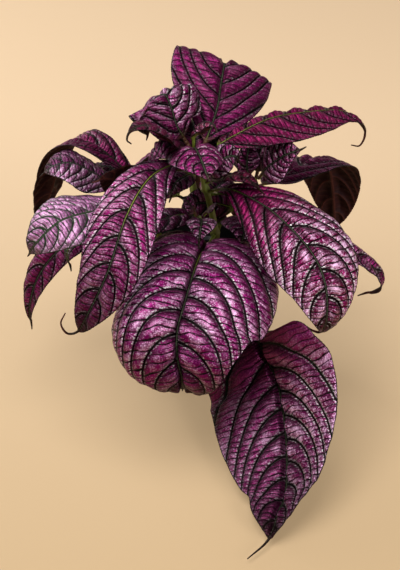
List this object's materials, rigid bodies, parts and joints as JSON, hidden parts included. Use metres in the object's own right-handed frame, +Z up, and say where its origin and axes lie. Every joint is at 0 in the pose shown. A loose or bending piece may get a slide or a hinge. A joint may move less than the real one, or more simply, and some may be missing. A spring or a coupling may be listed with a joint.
{
  "type": "persian shield plant",
  "caption": "Potted foliage plant with broad, quilted purple leaves on upright stems and one shoot that trails over the rim.",
  "frame": {"origin": "centre of the pot's underside, on the surface that the pot stands on", "axes": "+Z up the pot's axis, -Y towards the plant's best side, where the large middle leaf and the trailing leaf are"},
  "size_m": [0.2616, 0.3326, 0.2276],
  "materials": {
    "pot_plastic": "satin",
    "potting_soil": "matte",
    "stem_green": "satin",
    "leaf_purple": "satin"
  },
  "bodies": {
    "root": {"leaf_back_centre": "leaf_purple", "leaf_back_high_left": "leaf_purple", "leaf_back_high_right": "leaf_purple", "leaf_back_mid_left": "leaf_purple", "leaf_back_mid_right": "leaf_purple", "leaf_crown_back": "leaf_purple", "leaf_crown_curl": "leaf_purple", "leaf_crown_front": "leaf_purple", "leaf_crown_inner": "leaf_purple", "leaf_crown_left": "leaf_purple", "leaf_crown_low": "leaf_purple", "leaf_crown_rear": "leaf_purple", "leaf_crown_side": "leaf_purple", "leaf_front": "leaf_purple", "leaf_inner_back": "leaf_purple", "leaf_inner_left": "leaf_purple", "leaf_inner_mid": "leaf_purple", "leaf_inner_right": "leaf_purple", "leaf_left_back": "leaf_purple", "leaf_left_inner": "leaf_purple", "leaf_left_long": "leaf_purple", "leaf_left_low": "leaf_purple", "leaf_left_mid": "leaf_purple", "leaf_left_pale": "leaf_purple", "leaf_left_tip": "leaf_purple", "leaf_left_under": "leaf_purple", "leaf_long_right": "leaf_purple", "leaf_low_back": "leaf_purple", "leaf_main_inner": "leaf_purple", "leaf_main_low": "leaf_purple", "leaf_right_back": "leaf_purple", "leaf_right_curl": "leaf_purple", "leaf_right_dark": "leaf_purple", "leaf_right_inner": "leaf_purple", "leaf_right_large": "leaf_purple", "leaf_right_low": "leaf_purple", "leaf_right_young": "leaf_purple", "leaf_trailing": "leaf_purple", "leaf_young_front": "leaf_purple", "leaf_young_left": "leaf_purple", "leaf_young_right": "leaf_purple", "pot": "pot_plastic", "soil": "potting_soil", "stem_back": "stem_green", "stem_front": "stem_green", "stem_left": "stem_green", "stem_main": "stem_green", "stem_right": "stem_green", "stem_young": "stem_green"}
  },
  "joints": []
}
